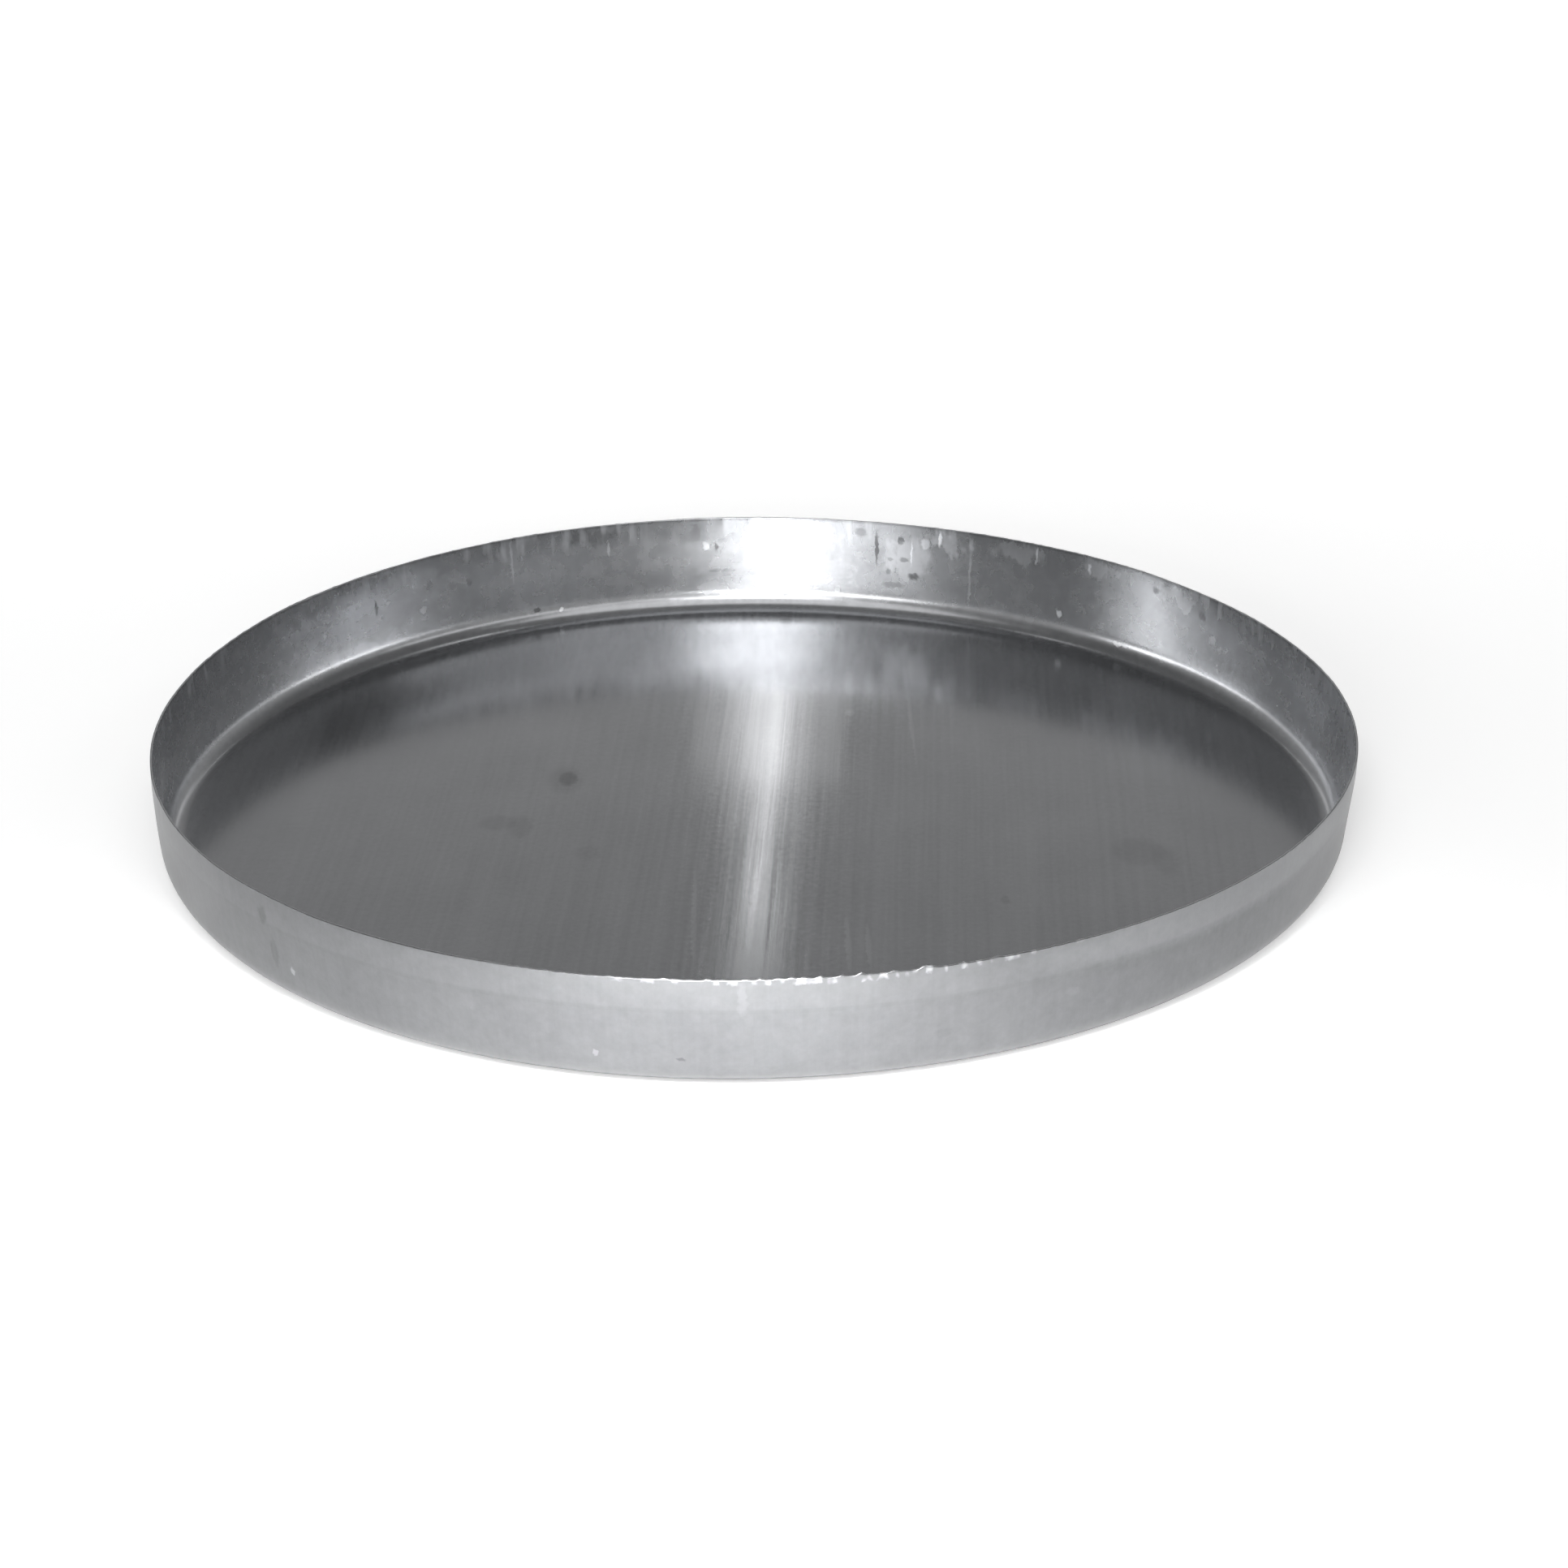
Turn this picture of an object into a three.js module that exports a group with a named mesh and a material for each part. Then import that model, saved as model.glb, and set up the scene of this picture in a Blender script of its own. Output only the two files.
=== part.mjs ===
// A shallow round drain pan, pressed in one piece from a disc of sheet steel: a flat floor, a small corner
// bend, a flared wall whose top third straightens up towards the rim, and a plain trimmed edge.
// Units are millimetres and +Z is up. The origin is the middle of the underside, where the pan rests.
import * as THREE from "three";

// Driving dimensions.
const RIM_DIAMETER = 445; // outside, at the trimmed edge
const BASE_DIAMETER = 438; // outside, where the wall and the underside would meet without a bend
const HEIGHT = 39;
const SHEET = 0.8; // thickness of the steel
const CORNER_RADIUS = 9; // inside radius of the bend between the floor and the wall
const RIM_BAND = 12; // height of the upper part of the wall, which straightens up
const EDGE_BREAK = 0.15; // the trimmed edge's two small bevels

// How finely the round shapes are divided.
const SEGMENTS = 120; // around the pan
const BEND_STEPS = 8; // along the corner bend
const BAND_STEPS = 5; // along the rim band

const STEEL = new THREE.MeshStandardMaterial({ name: "steel", color: 0x9a9ca0, roughness: 0.35, metalness: 1 });

// The straight flare below the rim band leans out by FLARE, and the band turns from that lean to upright.
// An arc that turns by a small angle leans by half of it on average, so the band counts half.
const OUTWARD = (RIM_DIAMETER - BASE_DIAMETER) / 2;
const FLARE = Math.atan(OUTWARD / (HEIGHT - RIM_BAND / 2));

// A round stretch of the outer face's half section, as points { r, z, lean }, where lean is the angle
// between the outward normal and straight down.
function arc(centre, radius, fromLean, toLean, steps) {
  const points = [];
  for (let i = 0; i <= steps; i++) {
    const lean = fromLean + ((toLean - fromLean) * i) / steps;
    points.push({ r: centre.r + radius * Math.sin(lean), z: centre.z - radius * Math.cos(lean), lean });
  }
  return points;
}

// The outer face's half section from the axis to the rim. The underside and the flare are the straight
// stretches between its middle, the corner bend and the rim band.
function outerSection() {
  const upright = Math.PI / 2;
  const wallLean = upright - FLARE;
  const bendRadius = CORNER_RADIUS + SHEET;
  const tangent = bendRadius * Math.tan(wallLean / 2);
  const bendCentre = { r: BASE_DIAMETER / 2 - tangent, z: bendRadius };
  const bandRadius = RIM_BAND / Math.sin(FLARE);
  const bandCentre = { r: RIM_DIAMETER / 2 - bandRadius, z: HEIGHT };
  return [
    { r: 0, z: 0, lean: 0 },
    ...arc(bendCentre, bendRadius, 0, wallLean, BEND_STEPS),
    ...arc(bandCentre, bandRadius, wallLean, upright, BAND_STEPS),
  ];
}

// The sheet's closed half section: out along the underside, over the trimmed edge and back along the inside,
// which is the outer face moved in by the sheet's thickness.
function sheetSection() {
  const outer = outerSection();
  const inner = outer.map(({ r, z, lean }) => ({
    r: r === 0 ? 0 : r - SHEET * Math.sin(lean),
    z: z + SHEET * Math.cos(lean),
  }));
  const rimOuter = outer.pop();
  const rimInner = inner.pop();
  const edge = [
    { r: rimOuter.r, z: HEIGHT - EDGE_BREAK },
    { r: rimOuter.r - EDGE_BREAK, z: HEIGHT },
    { r: rimInner.r + EDGE_BREAK, z: HEIGHT },
    { r: rimInner.r, z: HEIGHT - EDGE_BREAK },
  ];
  return [...outer, ...edge, ...inner.reverse()].map(({ r, z }) => new THREE.Vector2(r, z));
}

// A lathe turns about Y, so it is stood up to turn about Z.
function makePan() {
  const shell = new THREE.LatheGeometry(sheetSection(), SEGMENTS);
  shell.rotateX(Math.PI / 2);
  const pan = new THREE.Mesh(shell, STEEL);
  pan.name = "pan";
  return pan;
}

const drainPan = new THREE.Group();
drainPan.add(makePan());

export default drainPan;
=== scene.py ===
"""The finished look of a shallow drain pan, pressed in one piece from mill-finish sheet steel.

Lengths are metres, +Z is up and the pan's axis is Z. The pan is one sheet: its mesh is turned round
the axis from a half section, and both faces of the sheet carry the same waves and puckers.
"""

import math

import bpy
import numpy as np
from mathutils import Matrix, Vector


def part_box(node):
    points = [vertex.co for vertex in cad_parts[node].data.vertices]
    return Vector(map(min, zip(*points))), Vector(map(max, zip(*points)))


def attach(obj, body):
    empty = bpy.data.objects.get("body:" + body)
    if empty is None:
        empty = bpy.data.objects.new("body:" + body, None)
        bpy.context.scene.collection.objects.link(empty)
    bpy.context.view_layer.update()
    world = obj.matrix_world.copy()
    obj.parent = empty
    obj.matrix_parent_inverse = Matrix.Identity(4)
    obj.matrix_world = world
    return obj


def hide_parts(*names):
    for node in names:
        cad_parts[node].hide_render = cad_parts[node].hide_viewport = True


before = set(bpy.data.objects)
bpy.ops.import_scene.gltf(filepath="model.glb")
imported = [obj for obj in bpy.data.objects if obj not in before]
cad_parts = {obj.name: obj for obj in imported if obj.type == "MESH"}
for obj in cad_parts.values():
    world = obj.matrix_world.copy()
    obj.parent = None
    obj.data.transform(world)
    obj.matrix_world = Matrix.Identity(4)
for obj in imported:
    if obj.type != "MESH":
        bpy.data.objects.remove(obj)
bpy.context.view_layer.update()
MM = 0.001
MICRON = 1e-6

# The pan. Its rim and height come from the frame, and the rest repeats the CAD's driving dimensions.
PAN_LOW, PAN_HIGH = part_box("pan")
RIM_RADIUS = (PAN_HIGH.x - PAN_LOW.x) / 2
HEIGHT = PAN_HIGH.z
BASE_RADIUS = RIM_RADIUS - 3.5 * MM
SHEET = 0.8 * MM
CORNER_RADIUS = 9 * MM
OUTER_CORNER_RADIUS = CORNER_RADIUS + SHEET
RIM_BAND = 12 * MM
EDGE_BREAK = 0.15 * MM
FLARE = math.atan((RIM_RADIUS - BASE_RADIUS) / (HEIGHT - RIM_BAND / 2))
UPRIGHT = math.pi / 2
WALL_LEAN = UPRIGHT - FLARE
FLAT_RADIUS = BASE_RADIUS - OUTER_CORNER_RADIUS * math.tan(WALL_LEAN / 2)

# The mesh.
SEGMENTS = 1440
BEND_STEPS = 10
FLARE_STEPS = 5
BAND_STEPS = 8
SEED = 11
FLOOR_RINGS = [  # share of the flat's radius, and how many points the ring has
    (0.06, 90), (0.14, 180), (0.22, 180), (0.30, 360), (0.38, 360), (0.46, 360), (0.54, 360),
    (0.62, 360), (0.70, 720), (0.77, 720), (0.84, 720), (0.90, 720), (0.95, 720), (0.985, 1440),
]
OUTSIDE, INSIDE = 1.0, 0.0  # the face of the sheet that a point is on, as the material reads it

# The camera: the photo's distance, its height over the pan, its tilt to the side and its framing.
CAMERA_DISTANCE = 6.0 * RIM_RADIUS
CAMERA_ELEVATION = math.radians(23.69)
CAMERA_ROLL = math.radians(0.4)
FIELD_OF_VIEW = math.radians(24.87)
AIM_RIGHT = 12.4 * MM
AIM_UP = 10.3 * MM
SENSOR_WIDTH_MM = 36
NEAREST_SEEN, FARTHEST_SEEN = 0.05, 60


# ---------------------------------------------------------------- the sheet's half section


def arc(centre_r, centre_z, radius, leans):
    """Points (r, z, lean) where a round stretch of the outer face leans this far from level."""
    return [(centre_r + radius * math.sin(a), centre_z - radius * math.cos(a), a) for a in leans]


def outer_section():
    """The outer face from the edge of the flat underside up to the rim, as rows (r, z, lean)."""
    bend = OUTER_CORNER_RADIUS
    band = RIM_BAND / math.sin(FLARE)
    rows = arc(FLAT_RADIUS, bend, bend, np.linspace(0, WALL_LEAN, BEND_STEPS + 1))
    band_leans = np.linspace(WALL_LEAN, UPRIGHT, BAND_STEPS + 1)
    band_rows = arc(RIM_RADIUS - band, HEIGHT, band, band_leans)
    low, high = rows[-1], band_rows[0]
    for t in np.linspace(0, 1, FLARE_STEPS + 1)[1:-1]:
        rows.append((low[0] + (high[0] - low[0]) * t, low[1] + (high[1] - low[1]) * t, WALL_LEAN))
    rows += band_rows[:-1]
    rows.append((RIM_RADIUS, HEIGHT - 2 * EDGE_BREAK, UPRIGHT))
    rows.append((RIM_RADIUS, HEIGHT - EDGE_BREAK, UPRIGHT))
    return rows


def section_runs(rows):
    """How far along the outer face each row is from the pan's axis."""
    runs = [FLAT_RADIUS]
    for before, after in zip(rows, rows[1:]):
        runs.append(runs[-1] + math.hypot(after[0] - before[0], after[1] - before[1]))
    return runs


def run_at(height):
    """How far along the outer face a height on the wall is from the pan's axis."""
    bend = OUTER_CORNER_RADIUS
    above_bend = height - bend * (1 - math.cos(WALL_LEAN))
    return FLAT_RADIUS + bend * WALL_LEAN + above_bend / math.cos(FLARE)


# ---------------------------------------------------------------- unevenness of the pressed sheet


def smooth(x):
    """An eased step, 0 below 0 and 1 above 1."""
    x = np.clip(x, 0.0, 1.0)
    return x * x * (3 - 2 * x)


def angle_gap(theta, at):
    """How far each angle is from one angle, from -pi to pi."""
    return (theta - at + math.pi) % (2 * math.pi) - math.pi


def ripple(rng, theta, orders, falloff):
    """A random wave round the pan, one on average in size, made of whole numbers of waves."""
    total = np.zeros_like(theta)
    power = 0.0
    for k in orders:
        size = k ** -falloff
        total += size * np.cos(k * theta + rng.uniform(0, 2 * math.pi))
        power += size * size / 2
    return total / math.sqrt(power)


def bump_at(theta, at, width):
    """A rounded bump, one high, about one angle."""
    return np.exp(-(angle_gap(theta, at) / width) ** 2)


class Unevenness:
    """How the pressed sheet differs from its true shape, by angle and height."""

    # Out of round, and the ears of the drawn wall.
    OVAL = 0.7 * MM
    LOBES = 1.75 * MM
    LOBES_AT = math.radians(5)
    BASE_SHARE = 0.5
    EARING = 1.3 * MM
    EARING_AT = math.radians(-11)

    # Waves of the wall and of the trimmed edge.
    WALL_WAVE = 0.12 * MM
    LONG_SHARE, SHORT_SHARE, FINE_SHARE = 0.6, 0.4, 0.06
    RIM_WAVE = 0.075 * MM

    # Puckers under the rim.
    PUCKERS = 70
    PUCKER_HEIGHT = 0.05 * MM
    PUCKER_WIDTHS = 1.2 * MM, 3.5 * MM

    # Beads along the trimmed edge, which are larger in one rough stretch.
    BEAD_SPACING = 5.2 * MM
    BEAD_SHIFT = 0.35  # at most, as a share of the spacing
    BEAD_WIDTHS = 0.9 * MM, 1.6 * MM
    BEAD_HEIGHT, BEAD_HEIGHT_SPREAD = 0.08 * MM, 0.06 * MM
    ROUGH_AT = math.radians(-80)
    ROUGH_HALF_WIDTH = 2 / 9  # in radians, and it fades out over as much again
    ROUGH_GAIN = 3.8

    def __init__(self):
        rng = np.random.default_rng(SEED)
        theta = np.arange(SEGMENTS) * 2 * math.pi / SEGMENTS
        self.long_wave = ripple(rng, theta, orders=range(2, 9), falloff=1.0)
        self.short_wave = ripple(rng, theta, orders=range(9, 40), falloff=0.6)
        self.fine_wave = ripple(rng, theta, orders=range(40, 110), falloff=0.3)
        self.rim_height = ripple(rng, theta, orders=range(3, 30), falloff=0.8)
        lobes = self.LOBES * np.cos(3 * (theta - self.LOBES_AT))
        self.out_of_round = lobes - self.OVAL * np.cos(2 * theta)
        self.earing = -self.EARING * np.cos(2 * (theta - self.EARING_AT))
        self.pucker = self.make_puckers(rng, theta)
        self.burr = self.make_burr(rng, theta)

    def make_puckers(self, rng, theta):
        """Short upright ripples under the rim, in and out."""
        size = np.zeros_like(theta)
        for at in rng.uniform(0, 2 * math.pi, self.PUCKERS):
            width = rng.uniform(*self.PUCKER_WIDTHS) / RIM_RADIUS
            size += rng.normal(0, self.PUCKER_HEIGHT) * bump_at(theta, at, width)
        return size

    def make_burr(self, rng, theta):
        """The beads that shearing leaves along the trimmed edge."""
        size = np.zeros_like(theta)
        spacing = self.BEAD_SPACING / RIM_RADIUS
        for place in np.arange(0, 2 * math.pi, spacing):
            at = place + rng.uniform(-self.BEAD_SHIFT, self.BEAD_SHIFT) * spacing
            width = rng.uniform(*self.BEAD_WIDTHS) / RIM_RADIUS
            height = max(0.0, rng.normal(self.BEAD_HEIGHT, self.BEAD_HEIGHT_SPREAD))
            rough = smooth(2 - abs(angle_gap(at, self.ROUGH_AT)) / self.ROUGH_HALF_WIDTH)
            size += (1 + self.ROUGH_GAIN * rough) * height * bump_at(theta, at, width)
        return size

    def up(self, z):
        """How far up the wall a height is, from 0 at the top of the bend to 1 at the rim."""
        return smooth((z - CORNER_RADIUS) / (HEIGHT - CORNER_RADIUS))

    def wall(self, z):
        """Offset along the outward normal of a row of the wall at this height."""
        wave = (self.LONG_SHARE * self.long_wave + self.SHORT_SHARE * self.short_wave
                + self.FINE_SHARE * self.fine_wave)
        near_rim = smooth((z - (HEIGHT - RIM_BAND)) / RIM_BAND)
        return self.WALL_WAVE * wave * self.up(z) + self.pucker * near_rim

    def edge(self):
        """Extra height of the trimmed edge."""
        return self.RIM_WAVE * self.rim_height + self.burr

    def warp(self, points, z):
        """Takes a ring at height z out of round, and lifts and lowers it with the wall's ears."""
        step = SEGMENTS // len(points)
        radius = np.hypot(points[:, 0], points[:, 1])
        share = self.BASE_SHARE + (1 - self.BASE_SHARE) * self.up(z)
        grip = smooth(radius / BASE_RADIUS) * share
        points[:, :2] *= (1 + grip * self.out_of_round[::step] / np.maximum(radius, MM))[:, None]
        points[:, 2] += self.up(z) * self.earing[::step]
        return points


# The floor's slight oil-canning: its rise, and its waves across, from front to back and aslant,
# with the distance in which each wave turns by one radian and where it starts.
FLOOR_CROWN = 0.35 * MM
FLOOR_WAVE = 0.12 * MM
FLOOR_STILL_EDGE = 12 * MM
WAVE_ACROSS, START_ACROSS = 55 * MM, 0.7
WAVE_DEEP, START_DEEP = 72 * MM, -0.4
WAVE_ASLANT, START_ASLANT, SHARE_ASLANT = 40 * MM, 2.1, 0.6


def floor_rise(x, y):
    """How far the flat floor stands up off its plane, which is nothing at the bend."""
    inside = smooth(1 - np.hypot(x, y) / (BASE_RADIUS - FLOOR_STILL_EDGE))
    straight = np.sin(x / WAVE_ACROSS + START_ACROSS) * np.cos(y / WAVE_DEEP + START_DEEP)
    aslant = SHARE_ASLANT * np.sin((x + y) / WAVE_ASLANT + START_ASLANT)
    return inside * (FLOOR_CROWN + FLOOR_WAVE * (straight + aslant))


# ---------------------------------------------------------------- the mesh


def ring_of(r, z, count, normal_r, normal_z, offset):
    """A ring of points at radius r and height z, each moved by offset along (normal_r, normal_z)."""
    theta = np.arange(count) * 2 * math.pi / count
    radius = r + offset * normal_r
    height = z + offset * normal_z + 0 * theta
    return np.stack([radius * np.cos(theta), radius * np.sin(theta), height], 1)


class SheetRings:
    """The closed sheet as rings of points, each point with its place on the flat blank.

    The rings go from the middle of the underside out, over the rim and back to the floor's middle.
    """

    def __init__(self):
        self.uneven = Unevenness()
        self.rings = []
        self.blanks = []
        rows = outer_section()
        runs = section_runs(rows)
        self.add_middle(0.0, OUTSIDE)
        self.add_floor(FLOOR_RINGS, 0.0, OUTSIDE)
        self.add_wall(rows, runs, 0.0, OUTSIDE)
        self.raise_last_ring()
        self.add_edge(runs[-1])
        self.add_wall(rows[-1:], runs[-1:], -SHEET, INSIDE)
        self.raise_last_ring()
        self.add_wall(rows[-2::-1], runs[-2::-1], -SHEET, INSIDE)
        self.add_floor(FLOOR_RINGS[::-1], SHEET, INSIDE)
        self.add_middle(SHEET, INSIDE)

    def add(self, points, run, side):
        """Adds a ring at this distance along the sheet from the pan's axis."""
        theta = np.arange(len(points)) * 2 * math.pi / len(points)
        self.rings.append(points)
        self.blanks.append(np.stack([run * np.cos(theta), run * np.sin(theta), 0 * theta + side], 1))

    def add_warped(self, points, run, side):
        self.add(self.uneven.warp(points, float(points[:, 2].mean())), run, side)

    def add_middle(self, z, side):
        rise = floor_rise(np.zeros(1), np.zeros(1))[0]
        self.add(np.array([[0, 0, z + rise]]), 0.0, side)

    def add_floor(self, floor_rings, z, side):
        for share, count in floor_rings:
            points = ring_of(share * FLAT_RADIUS, z, count, 0, 1, np.zeros(count))
            points[:, 2] += floor_rise(points[:, 0], points[:, 1])
            self.add_warped(points, share * FLAT_RADIUS, side)

    def add_wall(self, rows, runs, offset, side):
        """Adds rows of the bend and wall, this far out from the outer face."""
        for (r, z, lean), run in zip(rows, runs):
            off = self.uneven.wall(z) + offset
            points = ring_of(r, z, SEGMENTS, math.sin(lean), -math.cos(lean), off)
            self.add_warped(points, run, side)

    def add_edge(self, run):
        """Adds the two rows of the trimmed edge's level top."""
        for inset in (EDGE_BREAK, SHEET - EDGE_BREAK):
            top = ring_of(RIM_RADIUS - inset, HEIGHT, SEGMENTS, 1, 0, self.uneven.wall(HEIGHT))
            top[:, 2] += self.uneven.edge()
            self.add_warped(top, run + inset, OUTSIDE)

    def raise_last_ring(self):
        """Lifts the row beside the trimmed edge half as far as the edge's waves and beads rise."""
        self.rings[-1][:, 2] += self.uneven.edge() / 2


def bridge(a, b, na, nb):
    """Faces between two rings of na and nb points, whose first points are a and b.

    The counts are equal, or one is twice the other.
    """
    faces = []
    if na == nb:
        for j in range(na):
            k = (j + 1) % na
            faces.append((a + j, a + k, b + k, b + j))
    elif nb == 2 * na:
        for j in range(na):
            k = (j + 1) % na
            middle = b + 2 * j + 1
            faces.append((a + j, middle, b + 2 * j))
            faces.append((a + j, a + k, middle))
            faces.append((a + k, b + 2 * k, middle))
    else:
        for j in range(nb):
            k = (j + 1) % nb
            middle = a + 2 * j + 1
            faces.append((a + 2 * j, middle, b + j))
            faces.append((middle, b + k, b + j))
            faces.append((middle, a + 2 * k, b + k))
    return faces


def close_rings(rings):
    """Faces that join the rings into a closed surface. The first and last rings are single points."""
    counts = [len(ring) for ring in rings]
    starts = [sum(counts[:i]) for i in range(len(counts))]
    first, last = starts[1], starts[-2]
    faces = []
    for j in range(counts[1]):
        faces.append((starts[0], first + (j + 1) % counts[1], first + j))
    for i in range(1, len(rings) - 2):
        faces += bridge(starts[i], starts[i + 1], counts[i], counts[i + 1])
    for j in range(counts[-2]):
        faces.append((last + j, last + (j + 1) % counts[-2], starts[-1]))
    return faces


def make_pan():
    """The pan's sheet, with each point's place on the blank as the attribute "blank"."""
    sheet = SheetRings()
    mesh = bpy.data.meshes.new("pan_sheet")
    mesh.from_pydata(np.concatenate(sheet.rings).tolist(), [], close_rings(sheet.rings))
    blank = mesh.attributes.new("blank", "FLOAT_VECTOR", "POINT")
    blank.data.foreach_set("vector", np.concatenate(sheet.blanks).astype(np.float32).ravel())
    mesh.shade_smooth()
    pan = bpy.data.objects.new("pan_sheet", mesh)
    bpy.context.scene.collection.objects.link(pan)
    return pan


# ---------------------------------------------------------------- materials


class Nodes:
    """A small help to write a node tree as expressions."""

    NOISE_LOW, NOISE_HIGH = 0.25, 0.75
    SPOT_FULL, SPOT_END = 0.55, 1.1

    def __init__(self, name):
        self.material = bpy.data.materials.new(name)
        self.material.use_nodes = True
        self.tree = self.material.node_tree
        self.shader = self.tree.nodes["Principled BSDF"]

    def add(self, kind, **settings):
        node = self.tree.nodes.new(kind)
        for key, value in settings.items():
            setattr(node, key, value)
        return node

    def link(self, source, socket):
        """Feeds a socket from another socket, or sets it to a number, colour or vector."""
        if hasattr(source, "is_output"):
            self.tree.links.new(source, socket)
        else:
            socket.default_value = source

    def math(self, operation, *values):
        node = self.add("ShaderNodeMath", operation=operation)
        for value, socket in zip(values, node.inputs):
            self.link(value, socket)
        return node.outputs[0]

    def vector(self, operation, *values):
        node = self.add("ShaderNodeVectorMath", operation=operation)
        for value, socket in zip(values, node.inputs):
            self.link(value, socket)
        return node.outputs["Value" if operation == "LENGTH" else "Vector"]

    def total(self, *values):
        result = values[0]
        for value in values[1:]:
            result = self.math("ADD", result, value)
        return result

    def product(self, *values):
        result = values[0]
        for value in values[1:]:
            result = self.math("MULTIPLY", result, value)
        return result

    def join(self, x, y, z):
        node = self.add("ShaderNodeCombineXYZ")
        for value, socket in zip((x, y, z), node.inputs):
            self.link(value, socket)
        return node.outputs[0]

    def noise(self, place, per_metre, detail=2.0, roughness=0.5, output="Fac"):
        """Noise with so many features in a metre along each axis, from 0 to 1."""
        node = self.add("ShaderNodeTexNoise", noise_dimensions="3D")
        self.link(self.vector("MULTIPLY", place, per_metre), node.inputs["Vector"])
        node.inputs["Scale"].default_value = 1.0
        node.inputs["Detail"].default_value = detail
        node.inputs["Roughness"].default_value = roughness
        return node.outputs[output]

    def remap(self, value, low, high, to_low=0.0, to_high=1.0, eased=True):
        """Takes low to to_low and high to to_high, and stays at those beyond them."""
        node = self.add("ShaderNodeMapRange")
        node.interpolation_type = "SMOOTHSTEP" if eased else "LINEAR"
        for number, socket in zip((value, low, high, to_low, to_high), node.inputs):
            self.link(number, socket)
        return node.outputs[0]

    def swing(self, noise, amount):
        """A noise turned into a change of up to about this amount either way."""
        return self.remap(noise, self.NOISE_LOW, self.NOISE_HIGH, -amount, amount, eased=False)

    def spot(self, place, centre, half_size):
        """1 inside an oval of this half size about a centre, fading to 0 at its edge."""
        away = self.vector("DIVIDE", self.vector("SUBTRACT", place, centre), half_size)
        return self.remap(self.vector("LENGTH", away), self.SPOT_FULL, self.SPOT_END, 1.0, 0.0)


class Places:
    """Where a point of the sheet is, in metres on the flat blank it was pressed from.

    The wall is read as distance round the rim and distance along the blank. The third number of a
    place is 0 on its own face of the sheet and far away on the other, so marks stay on one face.
    """

    FAR = 1.0
    GRAIN_TURN = math.radians(3)
    RAGGED_GRAIN, RAGGED_REACH = (420, 420, 3), (3 * MM, 3 * MM, 0)
    TORN_GRAIN, TORN_REACH = (190, 110, 3), (26 * MM, 16 * MM, 0)
    DRAWN_FROM, DRAWN_TO = FLAT_RADIUS - 4 * MM, FLAT_RADIUS + 14 * MM

    def __init__(self, n):
        self.blank = n.add("ShaderNodeAttribute", attribute_name="blank").outputs["Vector"]
        split = n.add("ShaderNodeSeparateXYZ")
        n.link(self.blank, split.inputs[0])
        x, y, self.outside = split.outputs
        self.inside = n.math("SUBTRACT", 1.0, self.outside)
        self.run = n.vector("LENGTH", n.vector("MULTIPLY", self.blank, (1, 1, 0)))
        self.drawn = n.remap(self.run, self.DRAWN_FROM, self.DRAWN_TO)
        self.flat = n.math("SUBTRACT", 1.0, self.drawn)

        off_inside = n.product(self.outside, self.FAR)
        self.off_outside = n.product(self.inside, self.FAR)
        around_back = n.product(n.math("ARCTAN2", x, y), RIM_RADIUS)
        around_front = n.product(n.math("ARCTAN2", x, n.product(y, -1.0)), RIM_RADIUS)
        outer_wall = n.join(around_front, self.run, self.off_outside)
        self.wall = n.join(around_back, self.run, off_inside)

        ragged = self.wander(n, self.blank, self.RAGGED_GRAIN, self.RAGGED_REACH)
        self.inner = n.vector("ADD", self.wall, ragged)
        self.outer = n.vector("ADD", outer_wall, ragged)
        self.floor = n.vector("ADD", n.join(x, y, off_inside), ragged)
        torn = self.wander(n, self.wall, self.TORN_GRAIN, self.TORN_REACH)
        self.torn = n.vector("ADD", self.wall, torn)

        turned = n.add("ShaderNodeVectorRotate", rotation_type="Z_AXIS")
        n.link(self.blank, turned.inputs["Vector"])
        turned.inputs["Angle"].default_value = self.GRAIN_TURN
        self.grain = turned.outputs[0]

    @staticmethod
    def wander(n, place, per_metre, reach):
        """A random shift of a place, which gives a mark a ragged outline."""
        noise = n.noise(place, per_metre, detail=3.0, roughness=0.6, output="Color")
        either_way = n.vector("SUBTRACT", noise, (0.5, 0.5, 0.5))
        return n.vector("MULTIPLY", either_way, reach)

    @staticmethod
    def on_wall(degrees, height):
        """The place at this many degrees round the wall, and this height in mm."""
        return (math.radians(degrees) * RIM_RADIUS, run_at(height * MM), 0)

    @staticmethod
    def on_floor(x, y):
        return (x * MM, y * MM, 0)


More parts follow.
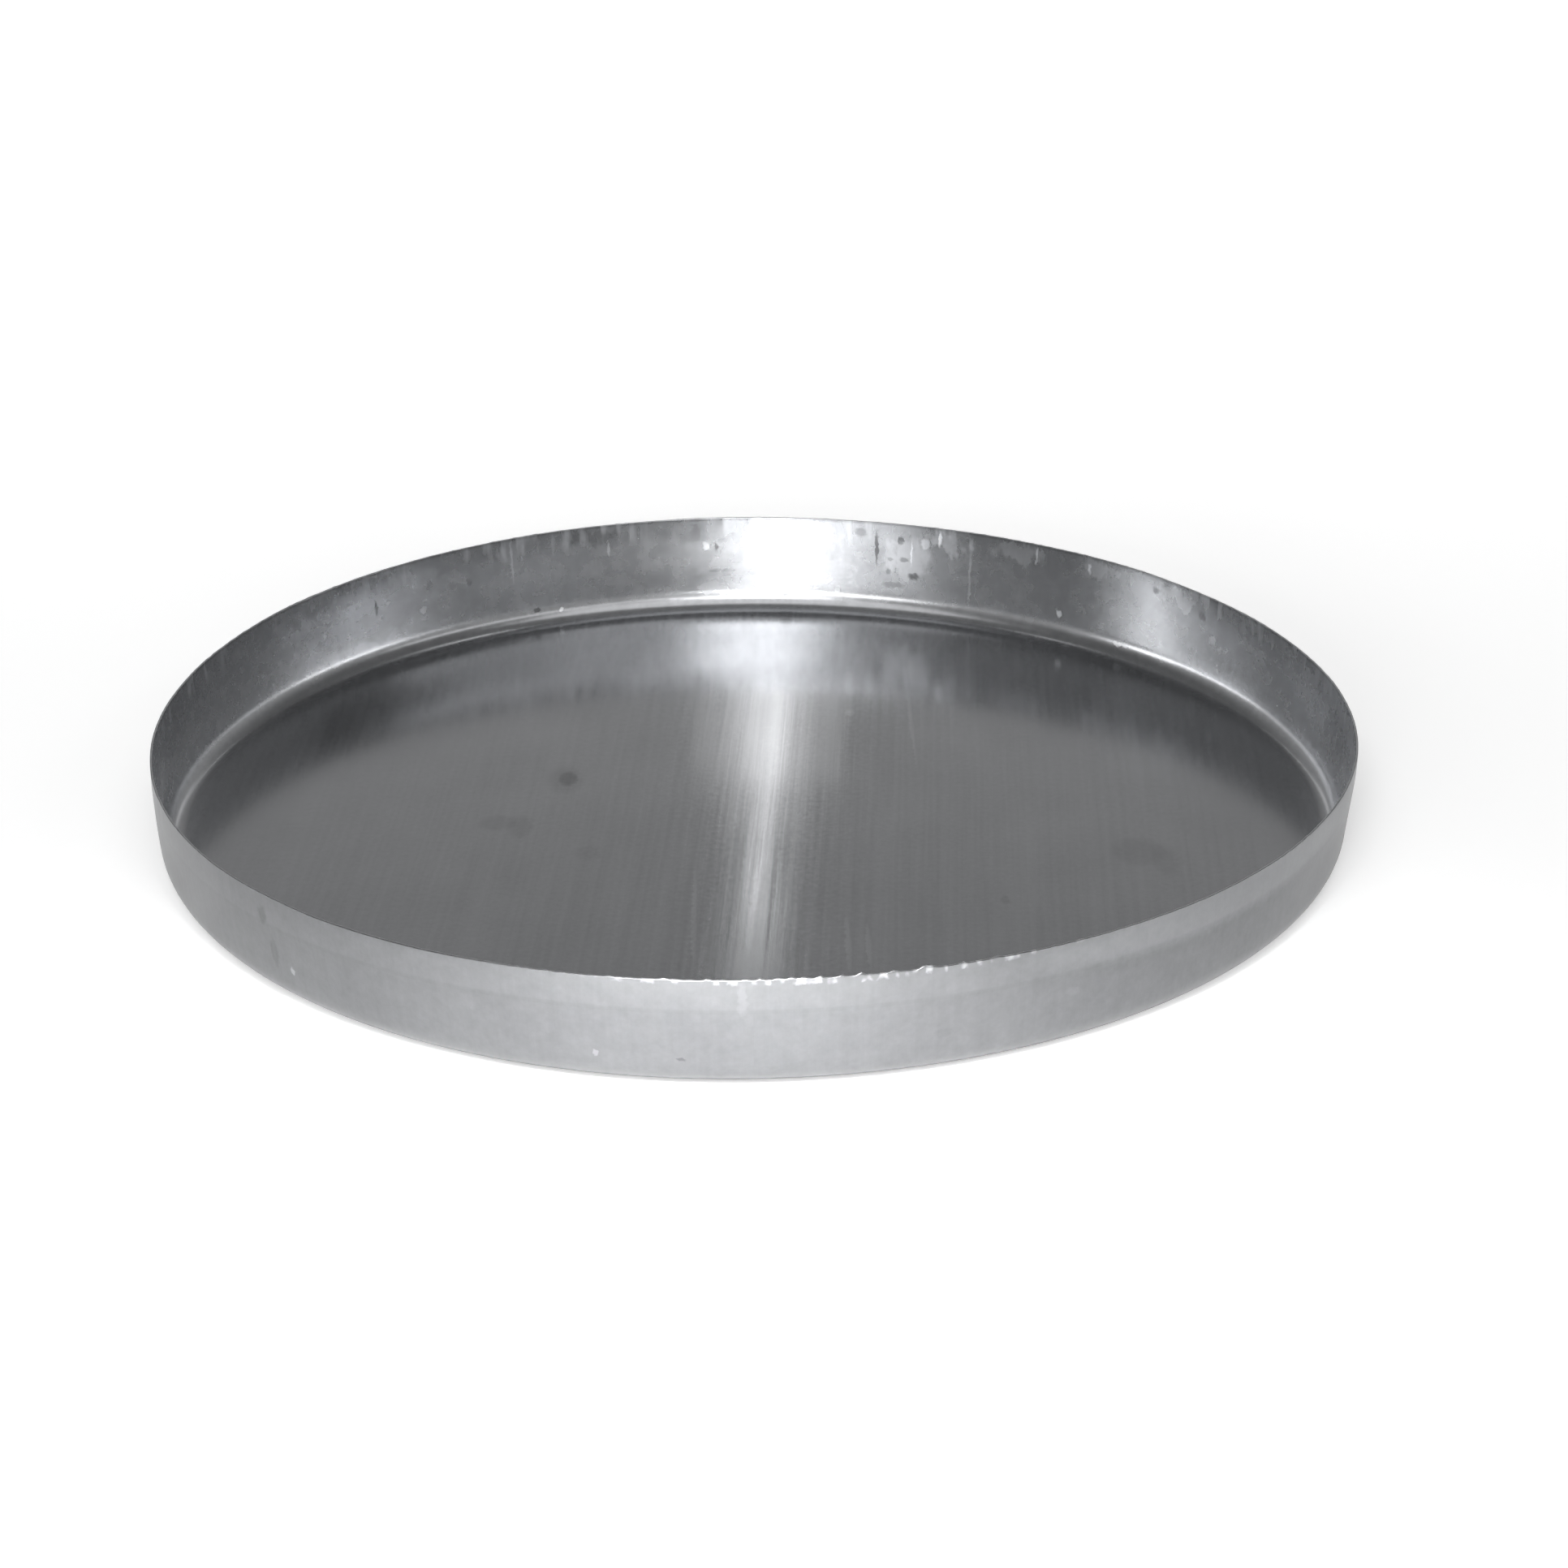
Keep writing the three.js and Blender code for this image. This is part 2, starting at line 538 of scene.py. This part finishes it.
# Marks, some from handling and some painted glints, highlights, reflections and shade. Each row is
# where the mark is, its half width and half height in mm, and its change of tone and of roughness.
WALL_MARKS = [  # degrees to the right of the back's middle, height in mm
    # The thin upright bright strokes are scratches and the dark spots stains; the bright round spots
    # are painted glints of small dents.
    (-26.7, 29.5, 0.7, 11, 0.35, 0.05), (-15.6, 28.5, 0.7, 4, 0.3, 0.05),
    (21.7, 34.5, 0.9, 4, 0.9, 0.1), (25.3, 20, 0.6, 13, 0.25, 0.05),
    (33.3, 34, 0.7, 4.5, 0.6, 0.1), (40, 33.5, 0.8, 3, 0.6, 0.1), (36.5, 11.6, 1.2, 1.8, 1.0, 0.1),
    (-36.9, 27, 2, 2.2, -0.2, 0.05), (-34, 24, 2.2, 2, -0.2, 0.05), (-32, 24, 1.6, 2, -0.2, 0.0),
    (-38, 17, 1.8, 2, 0.2, 0.05), (-44, 24, 0.8, 4, -0.45, 0.0), (-21.5, 5.3, 1.4, 1.0, 1.0, 0.1),
    (-24.3, 6.9, 1.8, 1.2, -0.5, 0.0), (4.2, 6.9, 3.2, 1.6, -0.5, 0.05),
    (-4.7, 27, 1.6, 1.8, 0.25, 0.1), (-3.6, 26.5, 0.9, 2, -0.5, 0.0),
    (-3.1, 16.8, 6, 0.5, -0.3, 0.0), (14.4, 28, 0.9, 8, -0.6, 0.05),
    (17.2, 32, 1.6, 2.2, -0.55, 0.0), (17.6, 24, 2.4, 1.4, -0.6, 0.0),
    (18.8, 17.5, 3.2, 1.8, -0.6, 0.05), (16, 24, 1.6, 1.0, -0.45, 0.0),
    (15.8, 18.5, 1.4, 1.2, -0.35, 0.0), (18.4, 27, 0.5, 6, 0.7, 0.05),
    (20, 31.5, 2.4, 2.2, 0.6, 0.05), (16.4, 13, 6, 1.6, -0.3, 0.05), (49, 33, 2.2, 1.8, -0.4, 0.0),
    (45.5, 34, 1.2, 3, 0.5, 0.1), (44.5, 5.6, 2.2, 1.2, 0.6, 0.1), (56, 30, 2.6, 2.2, -0.3, 0.0),
    (12.6, 34, 3, 2.4, -0.3, 0.05), (58, 22, 2, 2, 0.25, 0.05),
]
SCUFFS = [  # wide ragged patches on the inside of the wall, placed as above
    (17.9, 26, 11, 10, 0.38, 0.02), (22.5, 33, 9, 5, 0.4, 0.02), (31, 34, 14, 4, 0.35, 0.02),
    (-17, 35, 13, 3, -0.2, 0.0), (41, 35, 9, 4, 0.3, 0.02), (-27, 34, 8, 5, 0.1, 0.02),
    (52, 33, 14, 3, 0.25, 0.02), (-40, 32, 7, 6, 0.1, 0.02), (95, 30, 20, 6, 0.15, 0.02),
    (140, 30, 16, 7, 0.2, 0.02), (-120, 28, 18, 6, -0.15, 0.02), (-165, 33, 14, 5, 0.2, 0.02),
    # The wide darker patch on the left is painted shade.
    (-46, 24, 46, 16, -0.26, 0.0),
]
FLOOR_MARKS = [  # x and y in mm
    (-70, 31, 4, 8, -0.25, 0.03), (-71, 30, 8, 15, -0.1, 0.02), (-95, -10, 8, 8, -0.1, 0.02),
    (-86, -14, 5, 12, -0.1, 0.02), (-60, -38, 6, 7, -0.06, 0.0), (141, -42, 11, 14, -0.09, 0.02),
    (150, -50, 5, 16, -0.08, 0.02), (90, -83, 2, 4, -0.12, 0.0), (40, 96, 2.2, 5, 0.1, 0.02),
    # The four long thin lighter lines are painted reflections: the bright lines in the floor's streak
    # of light. The rest are smudges and spots.
    (-20.5, -93, 1.1, 42, 0.13, 0.0), (40, -118, 1.1, 20, 0.13, 0.0),
    (33, -117, 1.2, 26, 0.12, 0.0), (64, 100, 0.9, 70, 0.12, 0.0),
]
OUTER_MARKS = [  # degrees to the right of the front's middle, height in mm
    # The bright spots at -43.7 and -13.2 degrees and the upright streak at -0.9 are painted highlights;
    # the wide lighter patch at 46 degrees is a painted highlight and the two wide darker patches low at
    # the sides painted shade; the rest are smudges and lighter blotches.
    (-43.7, 13.8, 1.3, 1.6, 0.9, 0.1), (-13.2, 11.4, 1.0, 1.4, 0.5, 0.1),
    (-6, 10.5, 1.6, 0.8, -0.3, 0.0), (-47, 31, 2.6, 4, -0.22, 0.0), (-46, 18, 2.2, 7, -0.16, 0.0),
    (-0.9, 32, 1.8, 7, 0.15, 0.0), (28, 21, 3.5, 2, 0.1, 0.03), (-24, 24, 5, 3, 0.08, 0.03),
    (16, 15, 4, 2, -0.08, 0.0), (46, 34, 95, 9, 0.28, 0.0), (70, 13, 42, 14, -0.15, 0.0),
    (-72, 13, 42, 14, -0.12, 0.0),
]
MARK_DEPTH = 1 * MM  # a mark's third half size, which is far less than the gap between the faces


def add_marks(n, at):
    """The change of tone and of roughness that the handling marks and the painted glints, highlights,
    reflections and shade make.
    """
    tone, rough = 0.0, 0.0
    groups = (
        (WALL_MARKS, at.inner, at.on_wall), (SCUFFS, at.torn, at.on_wall),
        (FLOOR_MARKS, at.floor, at.on_floor), (OUTER_MARKS, at.outer, at.on_wall),
    )
    for rows, place, centre_of in groups:
        for first, second, wide, high, lighter, rougher in rows:
            mark = n.spot(place, centre_of(first, second), (wide * MM, high * MM, MARK_DEPTH))
            tone = n.math("MULTIPLY_ADD", mark, lighter, tone)
            if rougher:
                rough = n.math("MULTIPLY_ADD", mark, rougher, rough)
    return tone, rough


class SteelPatterns:
    """Where the sheet's textures are strong, most of them from 0 to 1."""

    # Ticks: their heights, and the levels of noise between which a stroke or a worn stretch begins.
    TICKS_FROM, TICKS_TO = 27 * MM, 34 * MM
    STROKE_FROM, STROKE_TO = 0.52, 0.68
    WORN_FROM, WORN_TO, WORN_LEAST = 0.4, 0.6, 0.15

    # The band outside below the rim, lightened as a painted highlight, the line at its foot, darkened
    # as painted shade, and the shaded lip inside.
    BAND_FROM, BAND_TO = 26.5 * MM, 30 * MM
    BAND_LINE_AT = 28 * MM
    BAND_LINE_SIZE = (1.0, 0.9 * MM, MARK_DEPTH)
    LIP = 1.6 * MM

    # Painted glints on the edge's beads: their middle in degrees to the right of the front's, how far
    # they reach, and their levels.
    BEADS_AT = 8
    BEADS_SIZE = (92 * MM, 2 * MM, MARK_DEPTH)
    BEAD_FROM, BEAD_TO = 0.5, 0.62

    def __init__(self, n, at):
        self.fine_grain = n.noise(at.grain, (420, 6, 40), detail=2.0, roughness=0.55)
        self.broad_grain = n.noise(at.grain, (75, 2.5, 7), detail=2.0)
        self.cloud = n.noise(at.blank, (28, 22, 9), detail=3.0)
        self.speckle = n.noise(at.blank, (420, 420, 60), detail=3.0, roughness=0.65)
        self.peel = n.noise(at.wall, (150, 180, 5), detail=2.0)
        self.draw_lines = n.noise(at.wall, (330, 16, 5), detail=3.0, roughness=0.6)
        self.ticks = self.make_ticks(n, at)
        # Painted highlight: the band below the rim outside, lightened.
        self.band = n.remap(at.run, run_at(self.BAND_FROM), run_at(self.BAND_TO))
        # Painted shade: a darker line at the band's foot.
        on_band_line = n.join(0.0, at.run, at.off_outside)
        self.band_line = n.spot(on_band_line, (0, run_at(self.BAND_LINE_AT), 0), self.BAND_LINE_SIZE)
        self.edge = n.remap(at.run, run_at(HEIGHT), run_at(HEIGHT) + EDGE_BREAK)
        near_lip = n.remap(at.run, run_at(HEIGHT - self.LIP), run_at(HEIGHT))
        self.lip = n.product(at.inside, near_lip)
        # The beads' bright spots along the front of the edge are painted glints.
        self.beads = self.make_beads(n, at)

    def make_ticks(self, n, at):
        """Short bright upright strokes under the rim inside, which come and go round the pan."""
        under_rim = n.remap(at.run, run_at(self.TICKS_FROM), run_at(self.TICKS_TO))
        noise = n.noise(at.wall, (210, 45, 5), detail=2.0)
        strokes = n.remap(noise, self.STROKE_FROM, self.STROKE_TO)
        patches = n.noise(at.wall, (12, 3, 5), detail=1.0)
        worn = n.remap(patches, self.WORN_FROM, self.WORN_TO, self.WORN_LEAST, 1.0)
        return n.product(strokes, under_rim, at.inside, worn)

    def make_beads(self, n, at):
        """Painted glints: bright spots painted on the beads along the front of the trimmed edge."""
        along_front = n.spot(at.outer, at.on_wall(self.BEADS_AT, HEIGHT / MM), self.BEADS_SIZE)
        noise = n.noise(at.wall, (220, 90, 5), detail=1.0)
        return n.product(along_front, n.remap(noise, self.BEAD_FROM, self.BEAD_TO))


# The steel's tone inside, its slightly blue tint, the share of the tone that the outside has, and
# how much each pattern changes it.
STEEL_TONE = 0.42
STEEL_TINT = (0.985, 1.0, 1.03)
OUTSIDE_SHARE = 0.46
# The band's lightening is a painted highlight, and the line at its foot painted shade.
TONE = {
    "cloud": 0.05, "speckle": 0.05, "fine_grain": 0.05, "peel": 0.06, "draw_lines": 0.04,
    # beads: painted glints along the front of the trimmed edge
    "ticks": 0.35, "band_line": -0.04, "band": 0.07, "beads": 1.2, "lip": -0.4, "edge": 0.15,
}

# The steel's roughness: the floor's, the wall's, and what is added towards the floor's edge, on
# the outside and by each pattern.
FLOOR_ROUGHNESS = 0.116
WALL_ROUGHNESS = 0.27
FLOOR_EDGE_ROUGHER = 0.055
FLOOR_EDGE_FROM, FLOOR_EDGE_TO = 60 * MM, 190 * MM
OUTSIDE_ROUGHER = 0.1
ROUGH = {"ticks": 0.06, "broad_grain": 0.015, "fine_grain": 0.03, "speckle": 0.025, "peel": 0.015}

# How deep each pattern is.
DEPTH = {
    "fine_grain": 13 * MICRON, "broad_grain": 60 * MICRON, "speckle": 9 * MICRON,
    "peel": 8 * MICRON, "draw_lines": 9 * MICRON, "ticks": 12 * MICRON,
}


def steel_colour(n, at, look, mark_tone):
    change = n.total(
        1.0, mark_tone,
        n.swing(look.cloud, TONE["cloud"]), n.swing(look.speckle, TONE["speckle"]),
        n.product(at.flat, n.swing(look.fine_grain, TONE["fine_grain"])),
        n.product(at.drawn, n.total(
            n.swing(look.peel, TONE["peel"]), n.swing(look.draw_lines, TONE["draw_lines"]))),
        # painted shade on the line at the band's foot, and a painted highlight on the band below the
        # rim outside
        n.product(look.ticks, TONE["ticks"]), n.product(look.band_line, TONE["band_line"]),
        # painted glints on the beads along the front of the edge
        n.product(look.band, at.outside, TONE["band"]), n.product(look.beads, TONE["beads"]),
        n.product(look.lip, TONE["lip"]), n.product(look.edge, TONE["edge"]),
    )
    below_edge = n.math("SUBTRACT", at.outside, n.product(at.outside, look.edge))
    darker = n.remap(below_edge, 0, 1, 1.0, OUTSIDE_SHARE, eased=False)
    tone = n.product(STEEL_TONE, change, darker)
    colour = n.add("ShaderNodeCombineColor")
    for share, socket in zip(STEEL_TINT, colour.inputs):
        n.link(n.product(tone, share), socket)
    return colour.outputs[0]


def steel_roughness(n, at, look, mark_rough):
    towards_wall = n.remap(at.run, FLOOR_EDGE_FROM, FLOOR_EDGE_TO, 0.0, FLOOR_EDGE_ROUGHER)
    return n.total(
        n.remap(at.drawn, 0, 1, FLOOR_ROUGHNESS, WALL_ROUGHNESS, eased=False), mark_rough,
        n.product(at.flat, towards_wall),
        n.product(at.outside, at.drawn, OUTSIDE_ROUGHER), n.product(look.ticks, ROUGH["ticks"]),
        n.swing(look.broad_grain, ROUGH["broad_grain"]),
        n.product(at.flat, n.total(
            n.swing(look.fine_grain, ROUGH["fine_grain"]), n.swing(look.speckle, ROUGH["speckle"]))),
        n.product(at.drawn, n.swing(look.peel, ROUGH["peel"])),
    )


def steel_relief(n, at, look):
    """The surface normal over the height of the grain, the peel, the drawing lines and the ticks."""
    def relief(*names):
        return n.total(*[n.product(getattr(look, name), DEPTH[name]) for name in names])

    bump = n.add("ShaderNodeBump")
    bump.inputs["Strength"].default_value = 1.0
    bump.inputs["Distance"].default_value = 1.0
    height = n.total(
        n.product(at.flat, relief("fine_grain", "broad_grain", "speckle")),
        n.product(at.drawn, relief("peel", "draw_lines")),
        relief("ticks"),
    )
    n.link(height, bump.inputs["Height"])
    return bump.outputs[0]


def sheet_steel():
    """Satin floor with rolling lines, rougher drawn wall, and a darker, duller outside."""
    n = Nodes("sheet_steel")
    at = Places(n)
    look = SteelPatterns(n, at)
    mark_tone, mark_rough = add_marks(n, at)
    n.link(steel_colour(n, at, look, mark_tone), n.shader.inputs["Base Color"])
    n.shader.inputs["Metallic"].default_value = 1.0
    n.link(steel_roughness(n, at, look, mark_rough), n.shader.inputs["Roughness"])
    n.link(steel_relief(n, at, look), n.shader.inputs["Normal"])
    return n.material


STAGE_COLOUR = (0.82, 0.82, 0.82, 1)
STAGE_ROUGHNESS = 0.9
STAGE_GLOW = 0.35


def stage_paint():
    """Matt pale grey that glows a little, so that the ground comes out nearly white."""
    n = Nodes("stage_paint")
    n.shader.inputs["Base Color"].default_value = STAGE_COLOUR
    n.shader.inputs["Roughness"].default_value = STAGE_ROUGHNESS
    n.shader.inputs["Emission Color"].default_value = (1, 1, 1, 1)
    n.shader.inputs["Emission Strength"].default_value = STAGE_GLOW
    return n.material


# ---------------------------------------------------------------- camera, stage and light


def view_axes():
    """The camera's forward, right and up directions before it is rolled."""
    cos, sin = math.cos(CAMERA_ELEVATION), math.sin(CAMERA_ELEVATION)
    return Vector((0, cos, -sin)), Vector((1, 0, 0)), Vector((0, sin, cos))


def add_camera():
    forward, right, up = view_axes()
    data = bpy.data.cameras.new("camera")
    data.sensor_width = SENSOR_WIDTH_MM
    data.lens = data.sensor_width / 2 / math.tan(FIELD_OF_VIEW / 2)
    data.clip_start, data.clip_end = NEAREST_SEEN, FARTHEST_SEEN
    camera = bpy.data.objects.new("camera", data)
    camera.location = -forward * CAMERA_DISTANCE
    target = right * AIM_RIGHT + up * AIM_UP
    look = (target - camera.location).to_track_quat("-Z", "Y")
    camera.rotation_mode = "QUATERNION"
    camera.rotation_quaternion = look @ Matrix.Rotation(-CAMERA_ROLL, 3, "Z").to_quaternion()
    bpy.context.scene.collection.objects.link(camera)
    bpy.context.scene.camera = camera


SOFT_BOXES = [  # name, azimuth, elevation, distance, width and height in degrees from the pan, radiance
    ("key_low", -9, 12, 1.6, 11, 5, 19),
    ("key", -8, 20, 1.6, 10, 5, 27),
    ("key_upper", -5, 28, 1.6, 5, 8, 9),
    ("key_side", -19, 16, 1.6, 6, 8, 6),
    ("front_top", -4, 41, 2.0, 20, 12, 9.5),
    ("front_left", -27, 17, 2.0, 18, 10, 5.2),
    ("front_low", -5, 4, 2.2, 24, 6, 30),
    ("left", -91, 15, 2.0, 9, 10, 7.0),
    ("left_long", -105, 9, 2.0, 34, 5, 2.6),
    ("left_wide", -128, 9, 2.0, 56, 5, 1.3),
    ("right_long", 94, 9, 2.0, 26, 5, 3.0),
    ("right_wide", 108, 9, 2.0, 90, 5, 1.3),
    ("front_right", 50, 38, 2.0, 60, 8, 1.4),
    ("front_high", 0, 66, 2.0, 60, 34, 1.1),
]
TUBE = [  # x and z in mm of the ends of each strip of light behind the pan, width in mm, radiance
    (18.5, 200, 9, 275, 6, 0.8),
    (9, 275, 2.5, 335, 6, 1.6),
    (2.5, 335, -2.5, 420, 4, 3.4),
    (12, 180, 6, 300, 48, 0.24),
    (14, 180, 9, 262, 84, 0.24),
    (12, 180, 7, 262, 26, 0.55),
    (4, 322, 1, 362, 40, 0.17),
]
TUBE_Y = 650 * MM
GROUND_BOXES = [  # name, place, aim, size, radiance and spread in degrees: they whiten the ground
    ("front_ground", (-0.01, -0.44, 0.32), (-0.01, -0.31, 0), (0.16, 0.08), 18, 75),
    ("back_ground", (0.0, 1.35, 2.0), (0.0, 1.35, 0), (2.6, 0.9), 1.6, 62),
]
SKY = [  # elevation in degrees, brightness
    (0, 0.5), (20, 0.42), (38, 0.17), (60, 0.17), (90, 0.25),
]
STAGE_SIZE = 30
STAGE_GAP = 0.05 * MM


def direction(azimuth, elevation):
    """The way to a place round the pan: azimuth 0 is the camera's side, 90 the right, 180 the back."""
    a, e = math.radians(azimuth), math.radians(elevation)
    return Vector((math.sin(a) * math.cos(e), -math.cos(a) * math.cos(e), math.sin(e)))


def add_box(name, place, aim, size, radiance, spread=180):
    """A soft box of size (width, height) in metres, with its top edge level, that faces aim."""
    data = bpy.data.lights.new(name, "AREA")
    data.shape = "RECTANGLE"
    data.size, data.size_y = size
    data.spread = math.radians(spread)
    data.energy = radiance * math.pi * size[0] * size[1]
    box = bpy.data.objects.new(name, data)
    box.location = place
    box.rotation_mode = "QUATERNION"
    box.rotation_quaternion = (aim - place).to_track_quat("-Z", "Y")
    box.visible_camera = False
    bpy.context.scene.collection.objects.link(box)
    return box


def add_soft_boxes():
    for name, azimuth, elevation, distance, wide, high, radiance in SOFT_BOXES:
        size = [2 * distance * math.tan(math.radians(angle / 2)) for angle in (wide, high)]
        place = direction(azimuth, elevation) * distance
        add_box(name, place, Vector((0, 0, 0)), size, radiance)


def add_tube():
    """Upright strips of light behind the pan, which the floor mirrors as a streak."""
    for i, (low_x, low_z, high_x, high_z, wide, radiance) in enumerate(TUBE):
        low = Vector((low_x * MM, TUBE_Y, low_z * MM))
        high = Vector((high_x * MM, TUBE_Y, high_z * MM))
        size = (wide * MM, (high - low).length)
        strip = add_box(f"tube_{i}", (low + high) / 2, Vector((0, 0, 0)), size, radiance)
        lean = math.atan2(high.x - low.x, high.z - low.z)
        turn = Matrix.Rotation(lean, 3, "Z").to_quaternion()
        strip.rotation_quaternion = strip.rotation_quaternion @ turn


def add_ground_boxes():
    for name, place, aim, size, radiance, spread in GROUND_BOXES:
        add_box(name, Vector(place), Vector(aim), size, radiance, spread)


def add_surroundings():
    """A grey room, brightest at the horizon and a little brighter overhead than half way up."""
    world = bpy.data.worlds.new("surroundings")
    bpy.context.scene.world = world
    world.use_nodes = True
    tree = world.node_tree
    way = tree.nodes.new("ShaderNodeTexCoord")
    height = tree.nodes.new("ShaderNodeSeparateXYZ")
    shade = tree.nodes.new("ShaderNodeValToRGB")
    ramp = shade.color_ramp.elements
    while len(ramp) < len(SKY):
        ramp.new(0.5)
    for stop, (elevation, brightness) in zip(ramp, SKY):
        stop.position = math.sin(math.radians(elevation))
        stop.color = (brightness, brightness, brightness, 1)
    tree.links.new(way.outputs["Generated"], height.inputs[0])
    tree.links.new(height.outputs["Z"], shade.inputs[0])
    tree.links.new(shade.outputs[0], tree.nodes["Background"].inputs["Color"])
    bpy.context.scene.view_settings.view_transform = "Standard"


def add_floor_stage():
    """A wide square ground, a hair below the pan."""
    half = STAGE_SIZE / 2
    sides = ((-half, -half), (half, -half), (half, half), (-half, half))
    corners = [(x, y, -STAGE_GAP) for x, y in sides]
    mesh = bpy.data.meshes.new("stage_floor")
    mesh.from_pydata(corners, [], [(0, 1, 2, 3)])
    mesh.materials.append(stage_paint())
    stage = bpy.data.objects.new("stage_floor", mesh)
    bpy.context.scene.collection.objects.link(stage)


# ---------------------------------------------------------------- putting it together

add_camera()
add_floor_stage()
add_soft_boxes()
add_tube()
add_ground_boxes()
add_surroundings()

pan = make_pan()
pan.data.materials.append(sheet_steel())
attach(pan, "root")
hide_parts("pan")
